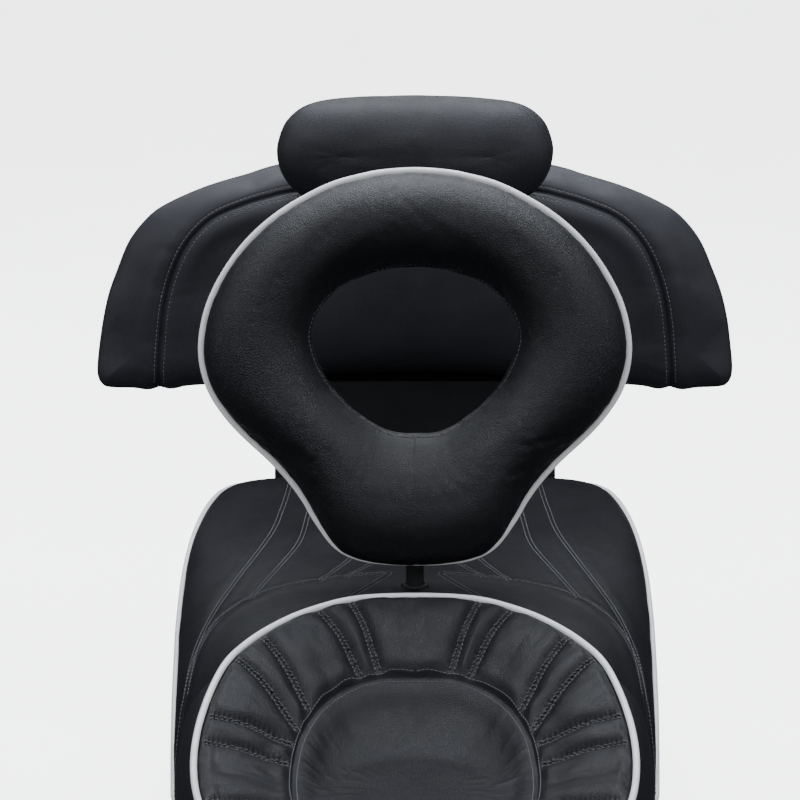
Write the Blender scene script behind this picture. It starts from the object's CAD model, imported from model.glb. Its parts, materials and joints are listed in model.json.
"""Looks of the touring seat: leather covers, piping, seams, stitching and finishes over the frame.

Z is up and X = 0 is the plane of symmetry. The rider's bucket lies towards -Y, the passenger's
part and the tail towards +Y. Lengths are millimetres unless a comment says metres; mesh_object
turns them into metres. A "grid" is an array of (rows, columns, xyz) whose columns run in a ring.
"""
import json
import math

import bmesh
import bpy
import numpy as np
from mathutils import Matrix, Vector
from mathutils.bvhtree import BVHTree


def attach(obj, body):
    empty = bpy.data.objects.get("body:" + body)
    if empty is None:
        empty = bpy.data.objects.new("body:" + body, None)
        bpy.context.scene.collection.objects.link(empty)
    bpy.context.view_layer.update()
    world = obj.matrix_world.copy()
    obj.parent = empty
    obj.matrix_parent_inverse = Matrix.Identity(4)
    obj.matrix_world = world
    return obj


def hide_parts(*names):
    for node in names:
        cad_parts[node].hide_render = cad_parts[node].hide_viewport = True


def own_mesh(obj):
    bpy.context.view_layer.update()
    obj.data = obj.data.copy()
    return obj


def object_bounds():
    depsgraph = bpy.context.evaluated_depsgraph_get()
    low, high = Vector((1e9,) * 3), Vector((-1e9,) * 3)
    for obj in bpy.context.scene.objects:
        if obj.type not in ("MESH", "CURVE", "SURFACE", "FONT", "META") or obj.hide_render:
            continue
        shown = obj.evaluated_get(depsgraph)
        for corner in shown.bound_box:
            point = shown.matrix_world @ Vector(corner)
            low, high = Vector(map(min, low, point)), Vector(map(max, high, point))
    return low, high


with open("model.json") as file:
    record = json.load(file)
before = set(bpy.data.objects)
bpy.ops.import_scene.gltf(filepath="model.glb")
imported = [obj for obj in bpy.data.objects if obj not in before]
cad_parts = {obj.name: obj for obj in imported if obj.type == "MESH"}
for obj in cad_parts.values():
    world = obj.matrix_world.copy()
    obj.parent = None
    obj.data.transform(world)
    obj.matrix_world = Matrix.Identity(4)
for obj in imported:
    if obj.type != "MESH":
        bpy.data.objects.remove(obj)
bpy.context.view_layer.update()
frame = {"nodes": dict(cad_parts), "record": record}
MM = 0.001
TURN = 2 * math.pi

# ---------------------------------------------------------------- driving dimensions
PAD_TILT = math.radians(10.0)  # rider backrest leans towards +Y about its hinge
HINGE_Z = 240.0
WELT_RADIUS = 2.5
WELT_SIDES = 16

# Rider backrest in the pad's own plane: (across, up), half outline from the top down.
PEAR = [
    (0, 282.1), (14.4, 281.4), (28.8, 279.9), (43, 276.9), (57.3, 273.2), (71.2, 267.7),
    (84.6, 260.8), (97.8, 253.1), (110.6, 244), (122.6, 233.4), (133.5, 221.5), (143.2, 208.2),
    (151.7, 193.6), (158.4, 178.2), (162.7, 161.3), (164.2, 144.4), (162, 127.5), (156, 111.3),
    (146.6, 96.7), (135.7, 83.9), (124, 72.7), (112.7, 62.4), (102.6, 52), (93.1, 40.9),
    (84.3, 28.3), (75.6, 13.4), (66.5, -1.4), (55.5, -12.4), (39.4, -18.6), (19.6, -21.4),
    (0, -22.2)]
WELT_FOOT = [(61, -5.5), (44, -14.5), (22, -18), (0, -18.6)]  # welt's own line below up = 12
OPENING = [(0, 208), (27.6, 205), (53.5, 195.2), (72, 177.4), (79.5, 157.4), (74.8, 136.7),
           (61.1, 112.9), (39.2, 92.9), (19.2, 82.4), (0, 80.6)]

# Rim of the rider's bucket: (x, y, z), +X half, back to front.
RIM_POINTS = [
    (0, -50, 206), (44, -54, 205), (74, -66, 201), (99, -85, 196), (123, -115, 189),
    (140, -150, 180), (152, -200, 161), (155, -250, 144), (148, -310, 134), (131, -370, 130),
    (105, -425, 130), (72, -458, 131), (36, -470, 132), (0, -472, 132)]
# Plan outline of the saddle: (x, y), +X half, tail to front.
OUTLINE_POINTS = [
    (0, 348.0), (60, 347.8), (104, 345), (130, 338), (148, 327), (161, 310), (173, 280),
    (183.5, 230), (189, 170), (188, 80), (184.5, 0), (182.5, -50), (180, -100), (176.5, -150),
    (172, -200), (166, -250), (157, -310), (140, -370), (116, -425), (88, -458), (60, -470),
    (30, -473.5), (0, -474)]
# Places on the rim and on the outline joined by one column of the cover: ((x, y), (x, y)).
RIM_TO_OUTLINE = [
    ((0, -50), (0, 348)), ((30, -52), (70, 347.7)), ((60, -59.5), (130, 338)),
    ((85, -73), (161, 310)), ((110, -98), (187, 200)), ((128, -125), (187.5, 60)),
    ((140, -150), (181.5, -70)), ((152, -200), (173.5, -185)), ((155, -250), (166, -250)),
    ((131, -370), (140, -370)), ((72, -458), (88, -458)), ((0, -472), (0, -474))]
# Seam between the band behind the bucket and the passenger panel: (x, y), +X half.
BAND_SEAM = [(26, 39), (40, 36.5), (54.4, 33), (75.6, 27), (104, 16), (123.4, 4), (139.7, -12),
             (153.4, -30), (163, -52), (170, -80), (175, -108), (178, -125)]
# Heights along the saddle: (y, z).
EDGE_HEIGHT = [
    (-474, 84), (-300, 70), (-200, 62), (-150, 62), (-120, 66), (-90, 90), (-50, 118), (0, 137),
    (80, 151), (170, 168), (230, 187), (280, 199), (325, 204), (348, 198)]
TOP_HEIGHT = [(-474, 134), (-400, 138), (-300, 156), (-200, 182), (-120, 197), (-50, 200),
              (38, 199.5), (100, 200), (200, 203), (300, 208), (330, 207), (348, 199)]
BUCKET_FLOOR = [(-474, 130), (-400, 124), (-330, 118), (-260, 115), (-200, 117), (-130, 128),
                (-50, 150)]
# Trapezoid panel on the middle of the band: half width TRAPEZOID_X at TRAPEZOID_Y.
TRAPEZOID_Y = (-52.0, 38.0)
TRAPEZOID_X = (60.5, 19.0)
# Twin-needle seams on the passenger panel: (x, y), +X side, tail to front.
TWIN_SEAMS = [
    [(106, 340), (108, 300), (113, 236), (120, 170), (139.7, 72), (155.4, 2.7), (164.4, -40),
     (168.4, -60), (172.5, -88)],
    [(84, 342), (86, 290), (90.3, 221), (94.5, 151), (104.7, 96), (120.2, 33), (127.2, 2.2)],
    [(39, 342), (39, 270), (41, 200), (45, 140), (53.7, 87), (65, 52), (74.5, 28.2)],
    [(0, 152), (10, 138), (23, 107), (38.2, 69), (54.5, 33.6)]]
TWIN_SPACING = 1.65  # each needle line from the middle of its pair

# Panel in the floor of the bucket: (x, y), +X half, back to front.
FLOOR_PANEL = [(0, -122), (34, -126), (62, -146), (80, -182), (86, -230), (82, -285), (68, -335),
               (42, -368), (0, -380)]
BUCKET_CENTRE = np.array([0.0, -240.0])
PLEAT_RIM_X = (51.5, 75.8, 117, 135)  # pleats that start on the back of the rim
PLEAT_RIM_Y = (-205, -232, -312, -338, -408, -428)  # pleats that start on the flank

# Passenger backrest and head bolster seen from the front: (x, z), +X half, top to bottom.
BACK_OUTLINE = [
    (0, 481), (60, 479), (120.7, 470.5), (152, 461), (186, 450.5), (219, 436.5), (238, 424),
    (256, 402), (268, 374.5), (277.6, 347), (284, 316), (287.5, 286), (284, 272), (272, 267.5),
    (230, 268), (170, 272), (90, 279), (0, 282)]
BACK_SEAM = [(0, 459), (60, 457), (109, 451), (130, 446), (152, 439), (179, 427), (199.6, 407),
             (213.6, 381), (223.5, 347), (229, 300), (230.5, 272), (231, 262)]
HEAD_OUTLINE = [
    (0, 538), (50, 537), (90, 532), (110, 519), (119, 500), (119.5, 484), (114, 468), (102, 454),
    (82, 445), (40, 441.5), (0, 441)]


# ---------------------------------------------------------------- curves
def interpolate(table, at):
    """Smooth interpolation of a two-column table without overshoot, held past its ends."""
    keys, values = np.array(table, float).T
    step = np.diff(keys)
    slope = np.diff(values) / step
    tangent = np.zeros(len(keys))
    tangent[0], tangent[-1] = slope[0], slope[-1]
    for i in range(1, len(keys) - 1):
        before, after = slope[i - 1], slope[i]
        if before * after > 0:
            tangent[i] = 2 * before * after / (before + after)
    at = np.clip(np.asarray(at, float), keys[0], keys[-1])
    k = np.clip(np.searchsorted(keys, at, "right") - 1, 0, len(keys) - 2)
    s = (at - keys[k]) / step[k]
    return ((2 * s**3 - 3 * s**2 + 1) * values[k] + (s**3 - 2 * s**2 + s) * tangent[k] * step[k]
            + (-2 * s**3 + 3 * s**2) * values[k + 1] + (s**3 - s**2) * tangent[k + 1] * step[k])


def smoothstep(start, end, x):
    t = np.clip((x - start) / (end - start), 0, 1)
    return t * t * (3 - 2 * t)


def bell(x, width, centre=0.0):
    """Bell curve of height 1."""
    return np.exp(-((x - centre) / width)**2)


def unit(vectors):
    return vectors / (np.linalg.norm(vectors, axis=-1, keepdims=True) + 1e-12)


def catmull_between(a, b, c, d, t):
    """Catmull-Rom value between b and c."""
    return 0.5 * (2 * b + (c - a) * t + (2 * a - 5 * b + 4 * c - d) * t**2
                  + (3 * b - 3 * c + d - a) * t**3)


def catmull(points, per):
    """Smooth open curve through points, with per steps in each span."""
    p = np.asarray(points, float)
    q = np.vstack([2 * p[0] - p[1], p, 2 * p[-1] - p[-2]])
    t = np.linspace(0, 1, per, endpoint=False)[:, None]
    spans = [catmull_between(*four, t) for four in zip(q, q[1:], q[2:], q[3:])]
    return np.vstack(spans + [p[-1:]])


def run_length(points):
    steps = np.linalg.norm(np.diff(points, axis=0), axis=1)
    return np.concatenate([[0], np.cumsum(steps)])


def at_run(run, values, s):
    """Columns of values, known at the run lengths, read at s."""
    return np.stack([np.interp(s, run, values[:, k]) for k in range(values.shape[1])], -1)


def at_length(points, s):
    return at_run(run_length(points), points, s)


def resample(points, count):
    return at_length(points, np.linspace(0, run_length(points)[-1], count))


def nearest_run(curve, point):
    """Run length of the curve's point nearest to a plan point."""
    gap = np.hypot(curve[:, 0] - point[0], curve[:, 1] - point[1])
    return run_length(curve)[gap.argmin()]


def flip_x(points):
    return points * np.array([-1.0] + [1.0] * (points.shape[-1] - 1))


def half_curve(points):
    """Dense half outline between two points on the symmetry plane, smooth across both ends."""
    per = 24
    p = np.asarray(points, float)
    return catmull(np.vstack([flip_x(p[1]), p, flip_x(p[-2])]), per)[per:-per]


def full_loop(half):
    return np.vstack([half, flip_x(half[1:-1])[::-1]])


def join_mirrored(line):
    """A line that starts on the symmetry plane, led in by its mirror image."""
    return np.vstack([flip_x(line)[::-1][:-1], line])


def offset_line(line, offset):
    """Plan line moved sideways, to the left of its travel."""
    along = unit(np.gradient(line, axis=0))
    return line + np.stack([-along[:, 1], along[:, 0]], -1) * offset


def line_distance(points, line, closed=False):
    """Distance, run length and side (+1 left of travel) of 2D points from a polyline."""
    line = np.asarray(line, float)
    if closed:
        line = np.vstack([line, line[:1]])
    start = line[:-1]
    span = line[1:] - start
    span_sq = (span**2).sum(1) + 1e-12
    run = run_length(line)
    flat = points.reshape(-1, 2)
    dist, s, side = (np.empty(len(flat)) for _ in range(3))
    block = max(1, int(4e6 // len(start)))  # bounds the memory used
    for i in range(0, len(flat), block):
        q = flat[i:i + block]
        t = np.clip(((q[:, None, :] - start) * span).sum(2) / span_sq, 0, 1)
        foot = start + t[..., None] * span
        gap_sq = ((q[:, None, :] - foot)**2).sum(2)
        k = gap_sq.argmin(1)
        j = np.arange(len(q))
        dist[i:i + block] = np.sqrt(gap_sq[j, k])
        s[i:i + block] = run[k] + t[j, k] * np.sqrt(span_sq[k])
        side[i:i + block] = np.sign(span[k, 0] * (q[:, 1] - start[k, 1])
                                    - span[k, 1] * (q[:, 0] - start[k, 0]))
    shape = points.shape[:-1]
    return dist.reshape(shape), s.reshape(shape), side.reshape(shape)


def near_line(points, line, reach=30.0):
    """Like line_distance within reach of the line; far points get distance 1000 and side 0."""
    chunk = 10
    line = np.asarray(line, float)
    run = run_length(line)
    flat = points.reshape(-1, 2)
    dist = np.full(len(flat), 1e3)
    s = np.zeros(len(flat))
    side = np.zeros(len(flat))
    for i in range(0, len(line) - 1, chunk):
        piece = line[i:i + chunk + 1]
        low, high = piece.min(0) - reach, piece.max(0) + reach
        index = np.nonzero(((flat > low) & (flat < high)).all(1))[0]
        if not len(index):
            continue
        d, along, which = line_distance(flat[index], piece)
        better = d < dist[index]
        index = index[better]
        dist[index], s[index], side[index] = d[better], along[better] + run[i], which[better]
    shape = points.shape[:-1]
    return dist.reshape(shape), s.reshape(shape), side.reshape(shape)


def value_noise(x, y, seed):
    """Smooth noise from -1 to 1, repeating every 64 units."""
    table = np.random.default_rng(seed).random((64, 64)) * 2 - 1
    xi, yi = np.floor(x).astype(int), np.floor(y).astype(int)
    fx, fy = x - xi, y - yi
    fx, fy = fx * fx * (3 - 2 * fx), fy * fy * (3 - 2 * fy)
    a, b = table[xi % 64, yi % 64], table[(xi + 1) % 64, yi % 64]
    c, d = table[xi % 64, (yi + 1) % 64], table[(xi + 1) % 64, (yi + 1) % 64]
    return (a * (1 - fx) + b * fx) * (1 - fy) + (c * (1 - fx) + d * fx) * fy


# ---------------------------------------------------------------- grids and meshes
def outward_normals(grid, row, column, outward):
    """Unit normals of a grid, turned to agree with outward at one vertex, and whether turned."""
    down = np.gradient(grid, axis=0)
    across = (np.roll(grid, -1, axis=1) - np.roll(grid, 1, axis=1)) / 2
    normals = unit(np.cross(across, down))
    flip = normals[row, column] @ np.array(outward) < 0
    return (-normals if flip else normals), flip


def mirror_join(half):
    """Full ring of columns from a half that starts and ends on the symmetry plane."""
    return np.concatenate([half, flip_x(half[:, 1:-1][:, ::-1])], 1)


def mesh_object(name, verts, faces, uv=None):
    mesh = bpy.data.meshes.new(name)
    mesh.from_pydata([tuple(v) for v in (np.asarray(verts) * MM).tolist()], [], faces)
    mesh.update()
    if uv is not None:
        layer = mesh.uv_layers.new(name="UVMap")
        loops = np.zeros(len(mesh.loops), np.int32)
        mesh.loops.foreach_get("vertex_index", loops)
        layer.data.foreach_set("uv", np.asarray(uv, np.float32)[loops].ravel())
    mesh.polygons.foreach_set("use_smooth", [True] * len(mesh.polygons))
    ob = bpy.data.objects.new(name, mesh)
    bpy.context.scene.collection.objects.link(ob)
    return ob


def grid_object(name, grid, wrap=True, keep=None, flip=False):
    """Quad mesh of a grid; keep is a mask per vertex."""
    rows, columns = grid.shape[:2]
    index = np.arange(rows * columns).reshape(rows, columns)
    following = np.roll(index, -1, axis=1)
    used = columns if wrap else columns - 1
    corners = [index[:-1, :used], following[:-1, :used], following[1:, :used], index[1:, :used]]
    faces = np.stack(corners, -1).reshape(-1, 4)
    if flip:
        faces = faces[:, ::-1]
    verts = grid.reshape(-1, 3)
    if keep is not None:
        faces = faces[keep.reshape(-1)[faces].all(1)]
        kept = np.unique(faces)
        renumber = -np.ones(len(verts), int)
        renumber[kept] = np.arange(len(kept))
        verts, faces = verts[kept], renumber[faces]
    return mesh_object(name, verts, faces.tolist())


def tube_data(path, radius, closed=False, sides=12, up=(0, 0, 1.0)):
    """Vertices and faces of a round cord along a path; radius is one value or one per point."""
    path = np.asarray(path, float)
    count = len(path)
    if closed:
        along = unit(np.roll(path, -1, 0) - np.roll(path, 1, 0))
    else:
        along = unit(np.gradient(path, axis=0))
    radius = np.broadcast_to(np.asarray(radius, float), (count,))
    up = np.asarray(up, float)
    if abs(along[0] @ up) > 0.9:
        up = np.array([1.0, 0, 0])
    frames = [unit(up - (up @ along[0]) * along[0])]
    for i in range(1, count):
        frames.append(unit(frames[-1] - (frames[-1] @ along[i]) * along[i]))
    first = np.array(frames)
    second = np.cross(along, first)
    if closed:
        # the twist left over at the joint is shared out along the cord
        end = unit(frames[-1] - (frames[-1] @ along[0]) * along[0])
        twist = math.atan2(end @ second[0], end @ first[0])
        angle = -twist * np.arange(count) / count
        cos, sin = np.cos(angle)[:, None], np.sin(angle)[:, None]
        first, second = first * cos + second * sin, second * cos - first * sin
    phi = np.linspace(0, TURN, sides, endpoint=False)[None, :, None]
    verts = path[:, None, :] + radius[:, None, None] * (
        np.cos(phi) * first[:, None, :] + np.sin(phi) * second[:, None, :])
    faces = []
    for i in range(count if closed else count - 1):
        j = (i + 1) % count
        for k in range(sides):
            m = (k + 1) % sides
            faces.append([i * sides + k, i * sides + m, j * sides + m, j * sides + k])
    if not closed:
        faces.append(list(range(sides))[::-1])
        faces.append([(count - 1) * sides + k for k in range(sides)])
    return verts.reshape(-1, 3), faces


def tube(name, path, radius=WELT_RADIUS, closed=False, sides=WELT_SIDES):
    """Cord with U along it in metres and V once round it."""
    verts, faces = tube_data(path, radius, closed, sides)
    phi = np.linspace(0, TURN, sides, endpoint=False)
    along, around = np.broadcast_arrays((run_length(path) * MM)[:, None], (phi / TURN)[None, :])
    return mesh_object(name, verts, faces, uv=np.stack([along, around], -1).reshape(-1, 2))


def bvh_of(ob):
    mesh = ob.data
    return BVHTree.FromPolygons([v.co.copy() for v in mesh.vertices],
                                [tuple(p.vertices) for p in mesh.polygons])


def drop(tree, points, direction, lift):
    """Points carried onto a mesh along a direction, with the normals that face them."""
    direction = Vector(direction).normalized()
    places, normals = [], []
    for point in np.asarray(points, float):
        origin = Vector(point * MM) - direction * lift * MM
        hit, normal, _, _ = tree.ray_cast(origin, direction)
        if hit is None:
            hit, normal, _, _ = tree.find_nearest(Vector(point * MM))
        if normal.dot(direction) > 0:
            normal = -normal
        places.append(np.array(hit) / MM)
        normals.append(np.array(normal))
    return np.array(places), np.array(normals)


def finish_piece(ob, body, slot, material, *replaces):
    ob.data.materials.clear()
    ob.data.materials.append(material)
    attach(ob, body)
    if replaces:
        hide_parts(*replaces)
    return ob


# ---------------------------------------------------------------- stitching
class Stitches:
    """Collects thread stitches and makes one mesh of them."""

    END_GAP = 1.0
    ALONG = np.array([-0.5, -0.3, 0, 0.3, 0.5])  # stations of a stitch, in its lengths
    HEIGHT = np.array([-0.35, 0.75, 1.0, 0.75, -0.35])  # of lift: both ends dive into the hide
    THICKNESS = np.array([0.7, 1, 1.05, 1, 0.7])  # of radius

    def __init__(self):
        self.verts, self.faces, self.count = [], [], 0

    def row(self, path, normals, pitch=3.3, length=2.3, radius=0.33, lift=0.28, slant=0.0):
        run = run_length(path)
        sewn = run[-1] - 2 * self.END_GAP
        number = max(1, int(sewn / pitch))
        for i in range(number):
            s = self.END_GAP + (i + 0.5) * sewn / number + self.ALONG * length
            line = at_run(run, path, s)
            normal = unit(at_run(run, normals, s))
            if slant:
                across = np.cross(normal[2], unit(line[-1] - line[0]))
                line = line + across * (np.linspace(-0.5, 0.5, 5) * slant)[:, None]
            line = line + normal * (self.HEIGHT * lift)[:, None]
            verts, faces = tube_data(line, self.THICKNESS * radius, sides=6, up=normal[2])
            self.verts.append(verts)
            self.faces += [[a + self.count for a in face] for face in faces]
            self.count += len(verts)

    def lay(self, tree, line, offset, **stitch):
        """Drops a plan line, moved sideways by offset, onto a surface and sews along it."""
        line = np.asarray(line, float)
        line = resample(line, max(8, int(run_length(line)[-1] / 2.0)))
        line = offset_line(line, offset)
        start = np.column_stack([line, np.full(len(line), 240.0)])
        places, normals = drop(tree, start, (0, 0, -1), lift=10)
        middle = (normals[:-2] + normals[1:-1] + normals[2:]) / 3
        self.row(places, np.vstack([normals[:1], middle, normals[-1:]]), **stitch)

    def make(self, name):
        return mesh_object(name, np.vstack(self.verts), self.faces)


# ---------------------------------------------------------------- cloth simulation
def read_points(mesh):
    out = np.zeros(len(mesh.vertices) * 3, np.float32)
    mesh.vertices.foreach_get("co", out)
    return out.reshape(-1, 3).astype(float)


def inflate(sheet, pin, flip, pressure, shrink, frames, cap, tension, bending):
    """Movement of a coarse grid puffed up between its pins; cap limits the travel."""
    ob = grid_object("Cloth_Sheet", sheet, flip=flip)
    mesh = ob.data
    rest = read_points(mesh)
    group = ob.vertex_groups.new(name="pin")
    for i in np.nonzero(pin > 0.001)[0].tolist():
        group.add([i], float(pin[i]), "REPLACE")
    cloth = ob.modifiers.new("Cloth", "CLOTH")
    settings = cloth.settings
    settings.quality = 6
    settings.mass = 0.25
    settings.tension_stiffness = settings.compression_stiffness = tension
    settings.shear_stiffness = tension * 0.5
    settings.bending_stiffness = bending
    settings.tension_damping = settings.compression_damping = settings.shear_damping = 12
    settings.air_damping = 4
    settings.use_pressure = True
    settings.uniform_pressure_force = pressure
    settings.shrink_min = shrink
    settings.shrink_max = shrink
    settings.vertex_group_mass = "pin"
    settings.pin_stiffness = 4
    settings.effector_weights.gravity = 0
    cloth.collision_settings.use_collision = False
    cloth.point_cache.frame_start = 1
    cloth.point_cache.frame_end = frames + 1
    scene = bpy.context.scene
    for f in range(1, frames + 1):
        scene.frame_set(f)
    solved = ob.evaluated_get(bpy.context.evaluated_depsgraph_get())
    move = read_points(solved.data) - rest
    bpy.data.objects.remove(ob)
    bpy.data.meshes.remove(mesh)
    scene.frame_set(1)
    move[~np.isfinite(move).all(1)] = 0  # a point lost by the solver stays at rest
    size = np.linalg.norm(move, axis=1, keepdims=True)
    limit = cap * MM
    eased = limit * np.tanh(size / limit) / np.maximum(size, 1e-9)
    move *= np.where(size > 1e-9, eased, 1)
    # rounded as a mesh stores it
    moved = (rest + move).astype(np.float32).astype(float)
    return moved.reshape(sheet.shape) / MM - sheet


def enlarge(field, count, wrap):
    """Catmull-Rom enlargement of a field along its first axis."""
    size = field.shape[0]
    x = np.arange(count) * (size / count if wrap else (size - 1) / (count - 1))
    i = np.minimum(np.floor(x).astype(int), size - 1)
    near = [i + k for k in (-1, 0, 1, 2)]
    near = [k % size if wrap else np.clip(k, 0, size - 1) for k in near]
    return catmull_between(*[field[k] for k in near], (x - i)[:, None, None])


def cloth_move(grid, pin, thin, flip=False, soften=0, heal=0, first=0, **settings):
    """Movement of a grid, from a simulation of every thin-th row and column.

    soften is the number of smoothing passes. heal makes the slit along the middle move as one
    over that many rows. first leaves out the rows before it and fades the movement over them.
    """
    rows, columns = grid.shape[:2]
    picked = np.linspace(first, rows - 1, max(8, rows // thin))
    picked = np.unique(np.round(picked).astype(int))
    picked_columns = np.arange(0, columns, thin)
    where = np.ix_(picked, picked_columns)
    # a sheet with an edge of no length isn't simulated, so coincident points are set apart
    i, j = np.meshgrid(np.arange(len(picked)), np.arange(len(picked_columns)), indexing="ij")
    sheet = grid[where] + 0.03 * np.stack([np.sin(12.9 * i + 7.1 * j), np.sin(4.7 * i + 23.3 * j),
                                           np.sin(31.7 * i + 3.9 * j)], -1)
    move = inflate(sheet, pin[where].reshape(-1), flip, **settings)
    for _ in range(soften):
        beside = np.roll(move, 1, 1) + np.roll(move, -1, 1)
        above = np.vstack([move[:1], move[:-1]]) + np.vstack([move[1:], move[-1:]])
        move = move * 0.4 + beside * 0.15 + above * 0.15
    move = enlarge(move, (len(picked) - 1) * thin + 1, False).transpose(1, 0, 2)
    move = enlarge(move, len(picked_columns) * thin, True).transpose(1, 0, 2)
    at = np.interp(np.arange(rows), picked, np.arange(len(picked))) * thin
    at = np.clip(at, 0, move.shape[0] - 1)
    low = np.minimum(at.astype(int), move.shape[0] - 2)
    part = (at - low)[:, None, None]
    move = (move[low] * (1 - part) + move[low + 1] * part)[:, :columns]
    if first:
        level = move[first].mean(0)
        fade = (np.arange(first) / first)[:, None, None]
        move[:first] = level + (move[first] - level) * fade
    if heal:
        level = (move[heal] + move[heal][opposite(columns)]) / 2
        fade = (np.arange(heal) / heal)[:, None, None]
        move[:heal] = move[heal] * fade + level * (1 - fade)
    return move


def opposite(columns):
    """For each column of a cushion, the column on the other lip of the slit."""
    return (columns // 2 - np.arange(columns)) % columns


# ---------------------------------------------------------------- materials
class Shader:
    """A material under construction: one surface, textured by object coordinates."""

    def __init__(self, name):
        self.material = bpy.data.materials.new(name)
        self.material.use_nodes = True
        self.tree = self.material.node_tree
        self.tree.nodes.clear()
        output = self.add("OutputMaterial", {})
        self.surface = self.add("BsdfPrincipled", {})
        self.feed(output, {"Surface": self.surface.outputs["BSDF"]})
        self.place = self.add("TexCoord", {}).outputs["Object"]

    def feed(self, node, inputs):
        """Links sockets, and sets plain values."""
        for key, value in inputs.items():
            if isinstance(value, bpy.types.NodeSocket):
                self.tree.links.new(value, node.inputs[key])
            else:
                node.inputs[key].default_value = value

    def add(self, kind, inputs, **settings):
        node = self.tree.nodes.new("ShaderNode" + kind)
        for key, value in settings.items():
            setattr(node, key, value)
        self.feed(node, inputs)
        return node

    def noise(self, scale, detail=3.0, rough=0.55, distortion=0.0, place=None):
        inputs = {"Scale": scale, "Detail": detail, "Roughness": rough, "Distortion": distortion,
                  "Vector": place or self.place}
        return self.add("TexNoise", inputs).outputs["Fac"]

    def ramp(self, factor, low, high):
        """Colours between two stops of (position, colour)."""
        node = self.add("ValToRGB", {"Fac": factor})
        for element, (position, colour) in zip(node.color_ramp.elements, (low, high)):
            element.position, element.color = position, colour
        return node.outputs["Color"]

    def math(self, operation, *values):
        return self.add("Math", dict(enumerate(values)), operation=operation).outputs[0]

    def remap(self, value, source, target):
        inputs = {"Value": value, "From Min": source[0], "From Max": source[1],
                  "To Min": target[0], "To Max": target[1]}
        return self.add("MapRange", inputs).outputs["Result"]

    def multiply(self, colour, shade, amount):
        inputs = {"Fac": amount, "Color1": colour, "Color2": shade}
        return self.add("MixRGB", inputs, blend_type="MULTIPLY").outputs[0]

    def bump(self, height, strength, distance, under=None):
        """Normal from a height; distance is in metres."""
        inputs = {"Strength": strength, "Distance": distance, "Height": height}
        if under is not None:
            inputs["Normal"] = under
        return self.add("Bump", inputs).outputs["Normal"]

    def finish(self, inputs):
        self.feed(self.surface, inputs)
        return self.material


def grey(value, blue=1.0):
    return (value, value, value * blue, 1)


def tint(base, factor):
    return (*[c * factor for c in base], 1)


def leather(name, base, rough, grain, depth, crease, blue=1.3, spec=0.5):
    """Coated hide: pebbled cells, fine creases between them, slow changes of tone and polish."""
    sh = Shader(name)
    warp = sh.noise(grain * 0.35, detail=2.0)
    shift = sh.add("CombineXYZ", {0: warp, 1: warp, 2: warp}).outputs[0]
    warped = sh.add("VectorMath", {0: shift, 1: (0.0012, 0.0012, 0.0012), 2: sh.place},
                    operation="MULTIPLY_ADD").outputs[0]
    cells = sh.add("TexVoronoi", {}, feature="DISTANCE_TO_EDGE")
    sh.feed(cells, {"Scale": grain, "Randomness": 0.95, "Vector": warped})
    pebble = sh.remap(cells.outputs["Distance"], (0.0, 0.22), (0.0, 1.0))
    pebble = sh.math("POWER", pebble, 0.6)
    fine = sh.noise(grain * 2.6, detail=4.0, rough=0.7)
    folds = sh.noise(grain * 0.16, detail=5.0, rough=0.62, distortion=1.4)
    lines = sh.math("ABSOLUTE", sh.math("SUBTRACT", folds, 0.5))
    lines = sh.remap(lines, (0.0, 0.045), (0.0, 1.0))
    height = sh.math("ADD", sh.math("MULTIPLY", pebble, 0.75), sh.math("MULTIPLY", fine, 0.35))
    height = sh.math("ADD", height, sh.math("MULTIPLY", lines, crease * 0.5))
    broad = sh.bump(sh.noise(26.0, rough=0.5), strength=0.10, distance=0.004)
    normal = sh.bump(height, strength=depth, distance=0.0006, under=broad)
    patch = 0.35  # strength of the tone patches
    tone = sh.ramp(sh.noise(9.0, detail=4.0, rough=0.6),
                   (0.3, grey(base * (1 - patch * 0.5), blue)), (0.7, grey(base * (1 + patch), blue)))
    shade = sh.ramp(pebble, (0.0, grey(0.35)), (0.6, grey(1.0)))
    colour = sh.multiply(tone, shade, amount=0.55)
    polish = sh.remap(sh.noise(38.0, detail=4.0, rough=0.65), (0.25, 0.75),
                      (rough - 0.07, rough + 0.08))
    polish = sh.math("ADD", polish, sh.remap(pebble, (0.0, 1.0), (0.14, 0.0)))
    return sh.finish({"Normal": normal, "Base Color": colour, "Roughness": polish,
                      "Specular IOR Level": spec})


def piping(name):
    """Pearl-white piping cloth with a faint glow."""
    red, green, blue = 0.90, 0.91, 0.915
    sh = Shader(name)
    fine = sh.noise(2600.0, rough=0.7)
    weave = sh.add("TexVoronoi", {"Scale": 1500.0, "Vector": sh.place}).outputs["Distance"]
    height = sh.math("ADD", fine, sh.math("MULTIPLY", weave, 0.8))
    tone = sh.ramp(sh.noise(60.0, detail=4.0, rough=0.6),
                   (0.3, (red * 0.86, green * 0.86, blue * 0.87, 1)),
                   (0.75, (red, green, blue, 1)))
    colour = sh.multiply(tone, sh.ramp(fine, (0.3, grey(0.80)), (0.62, grey(1.0))), amount=0.5)
    return sh.finish({"Base Color": colour, "Emission Color": colour, "Emission Strength": 0.22,
                      "Metallic": 0.05, "Roughness": 0.34, "Coat Weight": 0.25,
                      "Coat Roughness": 0.25,
                      "Normal": sh.bump(height, strength=0.35, distance=0.0003)})


def twisted_thread(name, base):
    sh = Shader(name)
    twist = sh.add("TexWave", {"Scale": 900.0, "Distortion": 3.0, "Vector": sh.place})
    colour = sh.ramp(sh.noise(300.0, detail=2.0), (0.2, tint(base, 0.7)), (0.8, tint(base, 1.25)))
    return sh.finish({"Base Color": colour, "Roughness": 0.6, "Sheen Weight": 0.3,
                      "Normal": sh.bump(twist.outputs["Fac"], strength=0.5, distance=0.0002)})


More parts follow.
